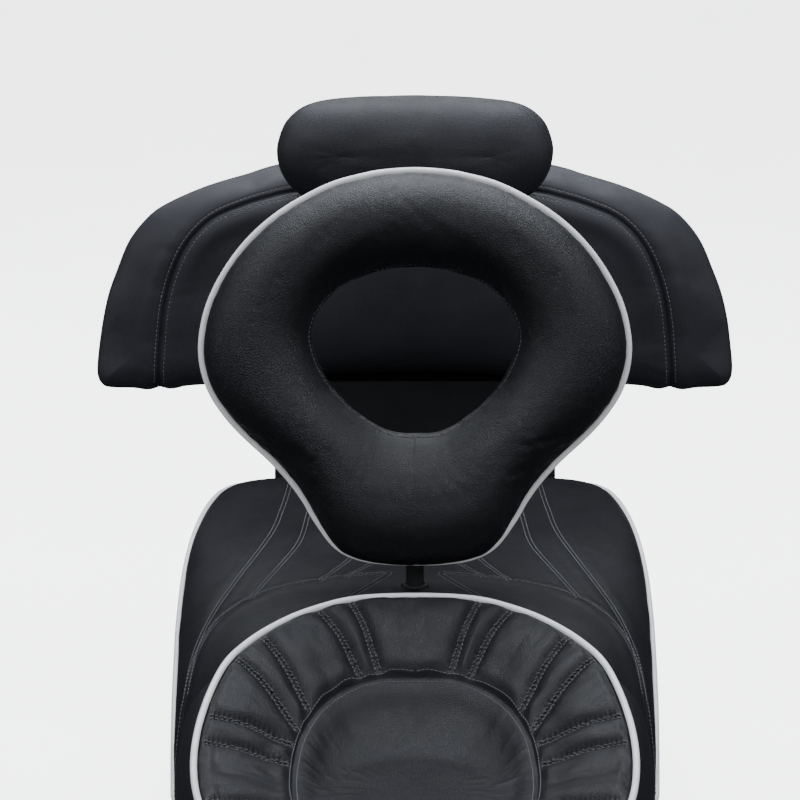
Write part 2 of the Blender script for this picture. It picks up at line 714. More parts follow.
def moulded(name, base, rough, scale, depth, blue=1.05, coat=0.0):
    """Moulded plastic or rubber with a spark-eroded texture."""
    sh = Shader(name)
    cells = sh.add("TexVoronoi", {}, feature="SMOOTH_F1")
    sh.feed(cells, {"Scale": scale, "Vector": sh.place})
    speckle = sh.noise(scale * 1.7, detail=4.0, rough=0.7)
    height = sh.math("ADD", cells.outputs["Distance"], speckle)
    colour = sh.ramp(sh.noise(14.0, detail=5.0, rough=0.6),
                     (0.3, grey(base * 0.8, blue)), (0.7, grey(base * 1.35, blue)))
    scuff = sh.noise(55.0, detail=6.0, rough=0.7, distortion=0.8)
    return sh.finish({"Base Color": colour,
                      "Roughness": sh.remap(scuff, (0.3, 0.75), (rough - 0.06, rough + 0.12)),
                      "Normal": sh.bump(height, strength=depth, distance=0.0003),
                      "Coat Weight": coat})


def metal(name, base, rough):
    """Bare metal, its polish varying in streaks across Z."""
    sh = Shader(name)
    stretched = sh.add("Mapping", {"Scale": (1.0, 1.0, 9.0), "Vector": sh.place}).outputs[0]
    streaks = sh.noise(420.0, detail=5.0, rough=0.7, place=stretched)
    colour = sh.ramp(sh.noise(40.0, detail=4.0, rough=0.6),
                     (0.3, tint(base, 0.8)), (0.72, (*base, 1)))
    return sh.finish({"Base Color": colour, "Metallic": 1.0,
                      "Roughness": sh.remap(streaks, (0.3, 0.7), (rough - 0.08, rough + 0.12)),
                      "Normal": sh.bump(streaks, strength=0.15, distance=0.0002)})


def powder_coat(name, base, rough):
    sh = Shader(name)
    peel = sh.noise(700.0, rough=0.5)
    tone = sh.noise(30.0, detail=5.0, rough=0.6)
    colour = sh.ramp(tone, (0.3, grey(base * 0.8, 1.05)), (0.7, grey(base * 1.3, 1.05)))
    return sh.finish({"Base Color": colour,
                      "Roughness": sh.remap(tone, (0.3, 0.7), (rough - 0.05, rough + 0.1)),
                      "Coat Weight": 0.3, "Coat Roughness": 0.3,
                      "Normal": sh.bump(peel, strength=0.25, distance=0.0003)})


PAD_LEATHER = leather("Leather_Pad", base=0.0070, rough=0.37, grain=560.0, depth=0.42, crease=0.8)
SADDLE_LEATHER = leather("Leather_Saddle", base=0.0085, rough=0.47, grain=820.0, depth=0.22,
                         crease=0.35, spec=0.26)
RIDER_LEATHER = leather("Leather_Rider", base=0.0075, rough=0.43, grain=640.0, depth=0.42,
                        crease=0.6, spec=0.34)
BACK_LEATHER = leather("Leather_Back", base=0.0270, rough=0.47, grain=800.0, depth=0.22,
                       crease=0.35, blue=1.25)
HEAD_LEATHER = leather("Leather_Head", base=0.019, rough=0.46, grain=700.0, depth=0.3,
                       crease=0.5, blue=1.25)
BAND_LEATHER = leather("Leather_Band", base=0.0085, rough=0.5, grain=900.0, depth=0.16,
                       crease=0.25, spec=0.26)
PEARL = piping("Pearl_Welt")
THREAD = twisted_thread("Thread", (0.13, 0.13, 0.14))
DARK_THREAD = twisted_thread("Thread_Dark", (0.045, 0.046, 0.048))
SHELL_PLASTIC = moulded("Shell_ABS", base=0.016, rough=0.42, scale=1100.0, depth=0.18)
PAN_PLASTIC = moulded("Pan_Polypropylene", base=0.022, rough=0.6, scale=700.0, depth=0.35)
RUBBER = moulded("Rubber", base=0.012, rough=0.62, scale=1500.0, depth=0.2, blue=1.0)
KNOB_PLASTIC = moulded("Phenolic", base=0.012, rough=0.3, scale=1800.0, depth=0.08, coat=0.4)
STEEL = powder_coat("Powder_Coat", base=0.018, rough=0.38)
ZINC = metal("Zinc_Plate", base=(0.62, 0.62, 0.60), rough=0.34)
SPRING_WIRE = metal("Spring_Wire", base=(0.5, 0.5, 0.52), rough=0.26)
FOAM = moulded("Foam", base=0.09, rough=0.85, scale=420.0, depth=0.8, blue=0.95)

SLOT_MATERIALS = {
    "black_leather": SADDLE_LEATHER, "silver_piping": PEARL, "foam": FOAM,
    "pan_plastic": PAN_PLASTIC, "shell_plastic": SHELL_PLASTIC, "knob_plastic": KNOB_PLASTIC,
    "black_rubber": RUBBER, "black_steel": STEEL, "zinc_hardware": ZINC,
    "spring_steel": SPRING_WIRE}
for part in frame["record"]["subparts"]:
    slots = frame["nodes"][part["node"]].data.materials
    slots.clear()
    slots.append(SLOT_MATERIALS[part["material_slot"]])

# ---------------------------------------------------------------- rider backrest
RING_CENTRE = (0.0, 140.0)  # in the pad's plane
RING_COLUMNS, RING_ROWS = 560, 96
WELT_HALF = half_curve([p for p in PEAR if p[1] > 12] + WELT_FOOT)


def pad_to_world(points):
    """Pad coordinates (across, up, towards the back) to world coordinates."""
    u, v, w = points[..., 0], points[..., 1], points[..., 2]
    sin, cos = math.sin(PAD_TILT), math.cos(PAD_TILT)
    return np.stack([u, v * sin + w * cos, HINGE_Z + v * cos - w * sin], -1)


def radius_by_angle(half, angles):
    loop = full_loop(half) - RING_CENTRE
    angle = np.arctan2(loop[:, 1], loop[:, 0])
    radius = np.hypot(loop[:, 0], loop[:, 1])
    order = np.argsort(angle)
    angle, radius = angle[order], radius[order]
    wrapped = np.concatenate([angle - TURN, angle, angle + TURN])
    return np.interp(angles, wrapped, np.tile(radius, 3))


def ring_grid():
    """Leather ring from its tuck under the welt, over the front, to the back of the opening."""
    angles = np.linspace(-math.pi / 2, 1.5 * math.pi, 3001)[:-1]
    curves = (half_curve(PEAR), half_curve(OPENING), WELT_HALF)
    radii = [radius_by_angle(curve, angles) for curve in curves]
    # columns are spaced evenly by the summed length of outer and inner outline
    around = np.stack([np.cos(angles), np.sin(angles)], -1)
    run = 0
    for radius in radii[:2]:
        loop = np.asarray(RING_CENTRE) + around * radius[:, None]
        run = run + run_length(np.vstack([loop, loop[:1]]))
    stations = np.arange(len(angles) + 1)
    even = np.linspace(0, run[-1], RING_COLUMNS, endpoint=False)
    picked = np.interp(even, run, stations)
    angles = np.interp(picked, stations, np.append(angles, angles[0] + TURN))
    outer, inner, welt = (np.interp(picked, stations, np.append(r, r[0])) for r in radii)
    around = np.stack([np.cos(angles), np.sin(angles)], -1)
    phi = np.linspace(0, math.pi, 161)
    power = 2.25  # squareness of the section
    grid = np.zeros((RING_ROWS, RING_COLUMNS, 3))
    for j in range(RING_COLUMNS):
        low = float(smoothstep(60, -20, RING_CENTRE[1] + around[j, 1] * outer[j]))
        edge = outer[j] - 2.3
        half_width = (edge - inner[j]) / 2
        middle = (edge + inner[j]) / 2
        depth = 43.0 + 2.0 * low
        cos = np.cos(phi)
        lateral = middle + half_width * np.sign(cos) * np.abs(cos)**(2 / power)
        w = -8.0 - 5.5 * low * np.clip(cos, 0, 1) - depth * np.sin(phi)**(2 / power)
        # the section is fuller near its outer edge, most of all at the bottom
        lateral = lateral + 1.0 * bell(phi, 0.35, 0.5) * (0.4 + low)
        section = resample(np.vstack([
            [[welt[j] - 1.4, -8.6 - 2.4 * low]],
            np.stack([lateral, w], -1),
            [[inner[j] + 0.6, -4.0], [inner[j] + 3.0, 0.5]]]), RING_ROWS)
        grid[:, j, 0] = RING_CENTRE[0] + around[j, 0] * section[:, 0]
        grid[:, j, 1] = RING_CENTRE[1] + around[j, 1] * section[:, 0]
        grid[:, j, 2] = section[:, 1]
    return pad_to_world(grid)


def build_backrest_ring():
    ring = ring_grid()
    pin = np.zeros((RING_ROWS, RING_COLUMNS))
    pin[:12] = 1
    pin[-12:] = 1
    ring = ring + cloth_move(ring, pin, thin=3, pressure=1.6, shrink=-0.012, frames=20, cap=2.2,
                             tension=9.0, bending=0.6)
    normals, flip = outward_normals(ring, RING_ROWS // 2, 0, (0, -1, 0))
    # radial puckers at the welt and inside the opening, slow waves, and the opening's groove
    row = np.arange(RING_ROWS)[:, None]
    arc = np.arange(RING_COLUMNS)[None, :] / RING_COLUMNS * 1400.0
    last = RING_ROWS - 1
    groove_row = RING_ROWS - 13
    pucker = value_noise(arc / 9.0, row / 30.0, 3) * 0.55 * bell(row, 9.0)
    pucker += value_noise(arc / 16.0, row / 26.0, 5) * 0.28 * bell(row, 20.0, last)
    pucker += value_noise(arc / 60.0, row / 22.0, 8) * 0.35
    pucker -= 0.9 * bell(row, 0.9, groove_row)
    pucker *= np.clip(row / 3.0, 0, 1) * np.clip((last - row) / 3.0, 0, 1)
    ring = ring + normals * pucker[..., None]
    ob = grid_object("Backrest_Ring_Leather", ring, flip=flip)
    finish_piece(ob, "backrest", "black_leather", PAD_LEATHER, "backrest_cover", "backrest_foam")

    sewn_row = groove_row - 2
    stitches = Stitches()
    stitches.row(np.vstack([ring[sewn_row], ring[sewn_row][:1]]),
                 np.vstack([normals[sewn_row], normals[sewn_row][:1]]),
                 pitch=3.6, length=2.6, radius=0.36, lift=0.3)
    finish_piece(stitches.make("Backrest_Opening_Thread"), "backrest", "black_leather", THREAD)


def build_backrest_welt():
    """Welt round the backrest and the sewn flange between the leather and the rear shell."""
    line = full_loop(resample(WELT_HALF, 150))
    up = line[:, 1]
    w = -8.0 - np.where(up > 20, 0, 4.4 * np.minimum(1, (20 - up) / 34).clip(0)**1.2)
    path = pad_to_world(np.column_stack([line, w]))
    cord = tube("Backrest_Welt", path, closed=True)
    finish_piece(cord, "backrest", "silver_piping", PEARL, "backrest_piping")
    along = unit(np.roll(line, -1, 0) - np.roll(line, 1, 0))
    inward = np.stack([along[:, 1], -along[:, 0]], -1)
    flange = [pad_to_world(np.column_stack([line + inward * inset, w + back]))
              for inset, back in ((0.4, 0.2), (1.6, 1.6), (3.2, 3.0))]
    ob = grid_object("Backrest_Welt_Flange", np.array(flange))
    finish_piece(ob, "backrest", "black_leather", PAD_LEATHER)


# ---------------------------------------------------------------- saddle cover: rim to skirt
COVER_COLUMNS = 640  # half cover
TOP_ROWS, SKIRT_ROWS, SEAM_ROW = 216, 22, 74
RIM = half_curve(RIM_POINTS)
OUTLINE = half_curve(OUTLINE_POINTS)
OUTLINE_LIGHT = resample(OUTLINE, 420)
SEAM_HALF = catmull([(0, 40), (13, 40)] + BAND_SEAM, 12)
SEAM_FULL = join_mirrored(SEAM_HALF)
SEWN_SEAM = catmull([(20, 39.6)] + BAND_SEAM, 12)
TWIN_CURVES = [catmull(points, 14) for points in TWIN_SEAMS]
TWIN_ALL = TWIN_CURVES + [flip_x(curve) for curve in TWIN_CURVES]


def cover_ends():
    """Rim point and outline point of every column of the half cover."""
    rim_run = np.array([nearest_run(RIM, rim) for rim, _ in RIM_TO_OUTLINE])
    out_run = np.array([nearest_run(OUTLINE, out) for _, out in RIM_TO_OUTLINE])
    keys = 0.35 * rim_run / rim_run[-1] + 0.65 * out_run / out_run[-1]
    t = np.linspace(0, 1, COVER_COLUMNS)
    rim = at_length(RIM, interpolate(np.column_stack([keys, rim_run]), t))
    edge = at_length(OUTLINE, interpolate(np.column_stack([keys, out_run]), t))
    rim[0, 0] = rim[-1, 0] = edge[0, 0] = edge[-1, 0] = 0.0
    return rim, edge


COVER_RIM, COVER_EDGE = cover_ends()
edge_along = unit(np.gradient(COVER_EDGE, axis=0))
EDGE_OUT = np.stack([-edge_along[:, 1], edge_along[:, 0]], -1)
EDGE_OUT[0], EDGE_OUT[-1] = (0, 1), (0, -1)


def dome(distance, reach, power):
    """Rise from 0 at an edge to 1 at reach."""
    return (1 - (1 - np.clip(distance / reach, 0, 1))**power)**(1 / power)


def saddle_top(x, y, rim_distance, part, rim_z):
    """Height of the cover; part runs from 0 at the rim to 1 at the outline."""
    distance, _, _ = line_distance(np.stack([np.abs(x), y], -1), OUTLINE_LIGHT)
    edge = interpolate(EDGE_HEIGHT, y) - 4.0 * smoothstep(290, 345, y)
    top = interpolate(TOP_HEIGHT, y) + 3.5 * smoothstep(250, 310, y)
    top = top + (210.5 - top) * smoothstep(322, 345, y)
    top = top - 3.0 * bell(x, 85.0) * smoothstep(50, 130, y) * smoothstep(335, 250, y)
    reach = 185.0 - 135.0 * smoothstep(215, 330, y)
    passenger = edge + (top - edge) * dome(distance, reach, 2.7)
    under_welt = rim_z - 2.5
    passenger = passenger + (under_welt - passenger) * bell(rim_distance, 13.0)
    power = 2.3
    rider = edge + (under_welt - edge) * (1 - np.clip(part, 0, 1)**power)**(1 / power)
    blend = smoothstep(-112, -168, y)
    return passenger * (1 - blend) + rider * blend


def hem_height(x, y):
    z = 27 + 70 * np.clip((y + 150) / 80, 0, 1)
    z = z + 14 * smoothstep(36, 28, x) * smoothstep(-440, -460, y)
    return z + 10.5 * smoothstep(23, 16, abs(x - 85)) * smoothstep(325, 335, y)


def half_cover_grid():
    part = 1 - (1 - np.linspace(0, 1, 280))**1.6
    rim_xy = COVER_RIM[:, None, :2]
    plan = rim_xy + (COVER_EDGE - COVER_RIM[:, :2])[:, None, :] * part[None, :, None]
    from_rim = np.linalg.norm(plan - rim_xy, axis=2)
    z = saddle_top(plan[..., 0], plan[..., 1], from_rim, np.broadcast_to(part, from_rim.shape),
                   COVER_RIM[:, 2][:, None])
    profiles = np.concatenate([plan, z[..., None]], -1)
    runs = [run_length(profile) for profile in profiles]
    # each column has one row lying on the seam, and rows crowd together around it
    seam_at = np.full(COVER_COLUMNS, np.nan)
    for j, run in enumerate(runs):
        distance, _, _ = near_line(plan[j], SEAM_HALF, 4.0)
        k = int(distance.argmin())
        if distance[k] < 1.2 and plan[j, k, 1] > -122:
            seam_at[j] = run[k] / run[-1]
    good = np.nonzero(np.isfinite(seam_at))[0]
    seam_at = np.interp(np.arange(COVER_COLUMNS),
                        np.append(good, [good[-1] + 60, COVER_COLUMNS - 1]),
                        np.append(seam_at[good], [0.5, 0.5]))
    a = np.linspace(0, 1, SEAM_ROW + 1)
    b = np.linspace(0, 1, TOP_ROWS - SEAM_ROW)[1:]
    # the skirt falls to the hem, then the hem curls under: (outwards, up)
    curl = np.array([[-8.6, -1.6], [-10.4, -2.2], [-12.4, -1.4], [-13.6, 0.8]])
    s = np.linspace(0, 1, SKIRT_ROWS - len(curl) + 1)[1:]
    bulge = 1.8 * np.sin(math.pi * np.minimum(s * 1.3, 1)) - 7.5 * s**2
    half = np.zeros((TOP_ROWS + SKIRT_ROWS, COVER_COLUMNS, 3))
    for j in range(COVER_COLUMNS):
        total = runs[j][-1]
        seam = seam_at[j] * total
        before = seam * (1 - (1 - a) * (0.55 + 0.45 * (1 - a)))
        after = seam + (total - seam) * b * (0.42 + 0.58 * b)
        half[:TOP_ROWS, j] = at_length(profiles[j], np.concatenate([before, after]))
        x, y, top = half[TOP_ROWS - 1, j]
        hem = hem_height(x, y)
        out = np.concatenate([bulge, curl[:, 0]])
        height = np.concatenate([top + (hem - top) * s, hem + curl[:, 1]])
        half[TOP_ROWS:, j] = np.stack([x + EDGE_OUT[j, 0] * out, y + EDGE_OUT[j, 1] * out,
                                       height], -1)
    half[:, 0, 0] = half[:, -1, 0] = 0.0
    return half


def cover_relief(cover):
    """Heights of seams and slack over the saddle cover, along the surface normal."""
    x, y, z = cover[..., 0], cover[..., 1], cover[..., 2]
    plan = cover[..., :2]
    on_top = np.zeros(x.shape)
    on_top[:TOP_ROWS] = 1
    on_top = on_top * (z > 60)
    distance, _, side = near_line(plan, SEAM_FULL)
    clear = on_top * smoothstep(15, 22, np.abs(x))
    relief = clear * (-1.5 * bell(distance, 1.5))
    relief += clear * np.where(side > 0, 1.0 * bell(distance, 5.0, 6), 0.5 * bell(distance, 6.0, 6))
    off = np.abs(x) - np.interp(y, TRAPEZOID_Y, TRAPEZOID_X)
    relief += on_top * (y < 44) * (-1.5 * bell(off, 1.4) + 0.6 * bell(off, 4.0, 5) * (off > 0)
                                   + 1.2 * smoothstep(0, -4, off))
    for line in TWIN_ALL:
        gap, _, _ = near_line(plan, line, 24)
        relief += on_top * (-0.42 * bell(gap, 0.8, TWIN_SPACING) - 0.35 * bell(gap, 4.5)
                            + 0.30 * bell(gap, 5.0, 9))
    relief += value_noise(x / 34 + 9, y / 34 + 20, 11) * 0.4
    return relief


def build_cover(half):
    cover = mirror_join(half)
    relief = cover_relief(cover)
    pin = np.zeros(cover.shape[:2])
    pin[:4] = 1
    pin[TOP_ROWS - 3:] = 1
    plan = cover[:TOP_ROWS, :, :2]
    pin[:TOP_ROWS][near_line(plan, SEAM_FULL)[0] < 3.0] = 1
    for line in TWIN_ALL:
        pin[:TOP_ROWS][near_line(plan, line, 5)[0] < 2.6] = 0.8
    pin[np.hypot(cover[..., 0], cover[..., 1]) < 15] = 1
    normals, flip = outward_normals(cover, 60, 40, (0, 0, 1))
    soft = TOP_ROWS + 2
    cover[:soft] += cloth_move(cover[:soft], pin[:soft], thin=4, flip=flip, soften=3,
                               pressure=0.7, shrink=0.0, frames=16, cap=1.4, tension=14.0,
                               bending=2.0)
    cover = cover + normals * relief[..., None]
    outside_hole = np.hypot(cover[..., 0], cover[..., 1]) > 9.3
    ob = grid_object("Saddle_Cover", cover, keep=outside_hole, flip=flip)
    finish_piece(ob, "saddle", "black_leather", SADDLE_LEATHER, "bridge_band", "bridge_panel",
                 "passenger_cover", "side_skirt", "saddle_foam")
    ob.data.materials.append(BAND_LEATHER)
    polygons = ob.data.polygons
    centres = np.zeros(len(polygons) * 3, np.float32)
    polygons.foreach_get("center", centres)
    centres = centres.reshape(-1, 3) / MM
    forward = [0, -60]
    border = np.vstack([SEAM_FULL[:1] + forward, SEAM_FULL, SEAM_FULL[-1:] + forward])
    _, _, side = line_distance(centres[:, :2], resample(border, 70))
    in_band = (side < 0) & (centres[:, 2] > 90) & (centres[:, 1] > -175)
    polygons.foreach_set("material_index", in_band.astype(np.int32))
    return bvh_of(ob)


def sew_cover(thread, tree):
    panel_y = np.array([-44.0, 36.0])
    panel_x = np.interp(panel_y, TRAPEZOID_Y, TRAPEZOID_X)
    for side in (1, -1):
        thread.lay(tree, SEWN_SEAM * [side, 1], offset=2.6 * side, pitch=3.4, length=2.4,
                   radius=0.34)
        for line in TWIN_CURVES:
            for offset in (TWIN_SPACING, -TWIN_SPACING):
                thread.lay(tree, line * [side, 1], offset=offset)
        edge = np.column_stack([panel_x * side, panel_y])
        for offset in (2.4 * side, -2.4 * side):
            thread.lay(tree, edge, offset=offset, pitch=3.2, length=2.2)


# ---------------------------------------------------------------- rider's bucket
PANEL_LOOP = full_loop(half_curve(FLOOR_PANEL))


def bucket_grid():
    """Bucket from its centre to the rim, and the part (0 to 1) of the way for each row."""
    half_columns, rows, crowded = 520, 190, 40
    from_centre = RIM[:, :2] - BUCKET_CENTRE
    rim_angle = np.arctan2(from_centre[:, 1], from_centre[:, 0])
    order = np.argsort(rim_angle)
    rim_angle = rim_angle[order]
    rim_radius = np.hypot(from_centre[:, 0], from_centre[:, 1])[order]
    angle = np.linspace(math.pi / 2, -math.pi / 2, half_columns)
    radius = np.interp(angle, rim_angle, rim_radius)
    run = run_length(np.stack([np.cos(angle) * radius, np.sin(angle) * radius], -1))
    angle = np.interp(np.linspace(0, run[-1], half_columns), run, angle)
    radius = np.interp(angle, rim_angle, rim_radius)
    rim_z = np.interp(angle, rim_angle, RIM[order, 2])[None, :]
    part = np.concatenate([np.linspace(0, 0.9, rows - crowded, endpoint=False),
                           np.linspace(0.9, 1, crowded)])[:, None]
    edge = np.maximum(radius - 1.0, 1)[None, :]
    x = np.cos(angle)[None, :] * edge * part
    y = BUCKET_CENTRE[1] + np.sin(angle)[None, :] * edge * part
    floor = interpolate(BUCKET_FLOOR, y)
    z = floor + (rim_z - floor) * smoothstep(0.32, 0.975, part)
    z = z + 1.6 * bell(part, 0.04, 0.945) - 3.4 * smoothstep(0.968, 1.0, part)**1.5
    return mirror_join(np.stack([x, y, z], -1)), part


def pleat_lines():
    """Plan curves of the pleats, running in from the rim, both sides."""
    back = RIM[RIM[:, 1] > -150, :2]
    ends = [back[np.abs(back[:, 0] - x).argmin()] for x in PLEAT_RIM_X]
    ends += [RIM[np.abs(RIM[:, 1] - y).argmin(), :2] for y in PLEAT_RIM_Y]
    aim_y = -195.0
    pleats = []
    for k, end in enumerate(ends):
        if k < 2:
            aim = np.array([0.0, aim_y])
        elif k < 4:
            aim = np.array([24.0, -250.0])
        else:
            aim = np.array([0.0, aim_y + (end[1] - aim_y) * 0.45])
        a = end + (aim - end) * 0.03
        b = end + (aim - end) * 0.57
        bend = np.array([0.0, 3.0 if k < 4 else 0.0])
        pleats.append(catmull([a, (a + b) / 2 + bend, b], 20))
    return pleats + [flip_x(pleat) for pleat in pleats]


def build_bucket(thread):
    bucket, part = bucket_grid()
    pleats = pleat_lines()
    plan = bucket[..., :2]
    gap = np.full(plan.shape[:2], 1e3)
    along = np.zeros(plan.shape[:2])
    for line in pleats:
        d, s, _ = near_line(plan, line, 60)
        closer = d < gap
        gap = np.where(closer, d, gap)
        along = np.where(closer, s, along)
    to_panel, _, side = line_distance(plan, PANEL_LOOP, closed=True)
    inner_side = side[2, 0]  # a vertex near the centre
    inside = (part < 0.30) | (side == inner_side)
    rim_fade = smoothstep(0.995, 0.93, part)
    pleated = np.where(inside, 0, smoothstep(0, 10, to_panel)) * rim_fade
    # pleat valleys between swells, their gathers, the panel seam and the crowned panel
    relief = pleated * (-3.0 * bell(gap, 4.2) + 3.4 * (1 - bell(gap, 9.5)) * bell(gap, 42.0))
    relief += pleated * (0.75 * np.cos(along * TURN / 3.6) * bell(gap, 2.6, 1.2))
    relief += pleated * 0.5 * value_noise(along / 6.0, gap / 7.0, 21) * bell(gap, 9.0)
    relief += rim_fade * (-1.8 * bell(to_panel, 1.7) + 1.3 * bell(to_panel, 6.5, 8))
    relief += np.where(inside, 1.2 * smoothstep(4, 45, to_panel), 0)
    relief += value_noise(plan[..., 0] / 26, plan[..., 1] / 26, 17) * 0.5 * rim_fade
    normals, flip = outward_normals(bucket, 120, 40, (0, 0, 1))
    normals[0] = (0, 0, 1)  # the first row is a single place
    pin = np.zeros(plan.shape[:2])
    pin[-6:] = 1
    pin[(gap < 2.6) & (pleated > 0.2)] = 1
    pin[to_panel < 2.2] = 1
    pin[:2] = 0.6
    move = cloth_move(bucket, pin, thin=4, flip=flip, soften=1, first=12, pressure=1.3,
                      shrink=-0.006, frames=16, cap=2.2, tension=12.0, bending=1.0)
    bucket = bucket + move * smoothstep(0.18, 0.42, part)[..., None] + normals * relief[..., None]
    ob = grid_object("Rider_Bucket_Leather", bucket, flip=flip)
    finish_piece(ob, "saddle", "black_leather", RIDER_LEATHER, "rider_cover")

    tree = bvh_of(ob)
    braid = Stitches()
    for line in pleats:
        line = resample(line, max(10, int(run_length(line)[-1] / 2)))
        distance, _, side = line_distance(line, PANEL_LOOP, closed=True)
        line = line[(side != inner_side) & (distance > 2.5)]
        if len(line) < 6:
            continue
        for offset in (2.1, -2.1):
            braid.lay(tree, line, offset=offset, pitch=3.6, length=2.9, radius=0.62, lift=0.5,
                      slant=0.9 * np.sign(offset))
    for offset in (2.6, -2.6):
        thread.lay(tree, np.vstack([PANEL_LOOP, PANEL_LOOP[:1]]), offset=offset, radius=0.34)
    finish_piece(braid.make("Pleat_Braids"), "saddle", "black_leather", DARK_THREAD)


def build_saddle_welts(half):
    lift = 0.6
    path = full_loop(resample(RIM, 260)) + np.array([0, 0, lift])
    finish_piece(tube("Rider_Welt", path, closed=True), "saddle", "silver_piping", PEARL,
                 "rider_piping")
    # crest between top and skirt, round the tail, then both ends run on and turn inwards
    crest = np.column_stack([COVER_EDGE + EDGE_OUT * 1.3, half[TOP_ROWS - 1, :, 2] + lift])
    path = resample(crest[COVER_EDGE[:, 1] > -114], 330)
    ahead = unit(path[-1] - path[-4]) * 14
    end = path[-1] + np.linspace(0, 1, 12)[1:, None] * ahead
    end = end + np.linspace(0, 1, 11)[:, None]**2 * np.array([-7.0, 0, 0])
    path = join_mirrored(np.vstack([path, end]))
    finish_piece(tube("Passenger_Welt", path), "saddle", "silver_piping", PEARL,
                 "passenger_piping")


# ---------------------------------------------------------------- passenger's cushions
def cushion_columns(points, keys, count, reach, centre_z):
    """Ends of the columns that run from a slit along the middle out to a half outline.

    The points in keys share the columns out evenly along the outline. Returns outline, slit.
    """
    curve = half_curve(points)
    runs = [0.0, *[nearest_run(curve, p) for p in keys], run_length(curve)[-1]]
    t = np.linspace(0, 1, count)
    table = np.column_stack([np.linspace(0, 1, len(runs)), runs])
    outline = at_length(curve, interpolate(table, t))
    slit = np.stack([reach * np.sin(math.pi * t), np.full(count, centre_z)], -1)
    for ends in (outline, slit):
        ends[0, 0] = ends[-1, 0] = 0
    return outline, slit


def cushion_object(name, grid, flip):
    """Mesh of a cushion with both lips of the slit brought together and merged."""
    grid[0] = (grid[1] + grid[1][opposite(grid.shape[1])]) / 2
    ob = grid_object(name, grid, flip=flip)
    bm = bmesh.new()
    bm.from_mesh(ob.data)
    bmesh.ops.remove_doubles(bm, verts=bm.verts, dist=0.02 * MM)
    bm.to_mesh(ob.data)
    bm.free()
    return ob


def back_grid():
    columns, rows = 420, 170
    outline, slit = cushion_columns(BACK_OUTLINE, [(186, 450.5), (280, 335), (230, 268)],
                                    columns, reach=165, centre_z=372)
    part = 1 - (1 - np.linspace(0, 1, 500))**1.5
    face = slit[:, None, :] + (outline - slit)[:, None, :] * part[None, :, None]
    distance, _, _ = line_distance(face, resample(half_curve(BACK_OUTLINE), 420))
    x, z = face[..., 0], face[..., 1]
    front = 395 + 26 * smoothstep(120, 300, np.abs(x))**1.2 + 3.0 * bell(z, 30, 300)
    reach = 46 - 14 * smoothstep(330, 280, z)
    y = front + (436 - front) * (1 - dome(distance, reach, 2.15))
    profiles = np.stack([x, y, z], -1)
    turn_in = ((0.2, 1.5), (0.0, 3.0), (-1.2, 4.2), (-4.0, 4.8))  # last rows: (outwards, +Y)
    face_rows = rows - len(turn_in)
    outward = unit(outline - slit)
    half = np.zeros((rows, columns, 3))
    for j in range(columns):
        half[:face_rows, j] = resample(profiles[j], face_rows)
        edge = half[face_rows - 1, j]
        for k, (out, back) in enumerate(turn_in):
            half[face_rows + k, j] = (edge[0] + outward[j, 0] * out, edge[1] + back,
                                      edge[2] + outward[j, 1] * out)
    return mirror_join(half)


def build_passenger_back():
    back = back_grid()
    seam = catmull(BACK_SEAM, 14)
    face = back[..., [0, 2]]
    gap, _, _ = near_line(face, join_mirrored(seam), 40)
    in_front = back[..., 1] < 433
    relief = in_front * (-2.3 * bell(gap, 1.7) + 2.1 * bell(gap, 9.0, 11)
                         - 0.45 * bell(gap, 0.9, 4.3))
    relief += value_noise(face[..., 0] / 40 + 30, face[..., 1] / 30 + 3, 33) * 0.5
    normals, flip = outward_normals(back, 90, 40, (0, -1, 0))
    pin = np.zeros(face.shape[:2])
    pin[-9:] = 1
    pin[(gap < 2.6) & in_front] = 1
    move = cloth_move(back, pin, thin=4, flip=flip, soften=2, heal=12, pressure=1.2,
                      shrink=-0.001, frames=16, cap=2.4, tension=12.0, bending=2.0)
    back = back + move + normals * relief[..., None]
    ob = cushion_object("Passenger_Backrest_Leather", back, flip)
    finish_piece(ob, "saddle", "black_leather", BACK_LEATHER, "passenger_back_center",
                 "passenger_back_border", "passenger_back_foam")
    tree = bvh_of(ob)
    stitches = Stitches()
    for side in (1, -1):
        for offset in (4.3, -4.3):
            line = offset_line(resample(seam * [side, 1], 160), offset)
            line = line[line[:, 1] > 272]
            start = np.column_stack([line[:, 0], np.full(len(line), 380.0), line[:, 1]])
            places, normals = drop(tree, start, (0, 1, 0), lift=20)
            stitches.row(places, normals, pitch=4.0, length=2.8, radius=0.42)
    finish_piece(stitches.make("Passenger_Back_Thread"), "saddle", "black_leather", THREAD)


def build_flap():
    """Thin rubber flap hanging from the backrest's lower edge, in front of the carrier tubes."""
    half_width, top, height, thickness = 79.0, 288.0, 17.8, 1.0
    rows, columns = 9, 61
    down = np.arange(rows)[:, None] / (rows - 1)
    x = -half_width + 2 * half_width * np.arange(columns)[None, :] / (columns - 1)
    y = 442.6 + 0.12 * np.sin(x * 0.16 + 0.8) * down
    front = np.stack(np.broadcast_arrays(x, y, top - height * down), -1)
    rear = front + np.array([0, thickness, 0])
    ob = grid_object("Back_Flap", np.concatenate([front, rear[::-1]], 0), wrap=False)
    finish_piece(ob, "saddle", "black_rubber", RUBBER)


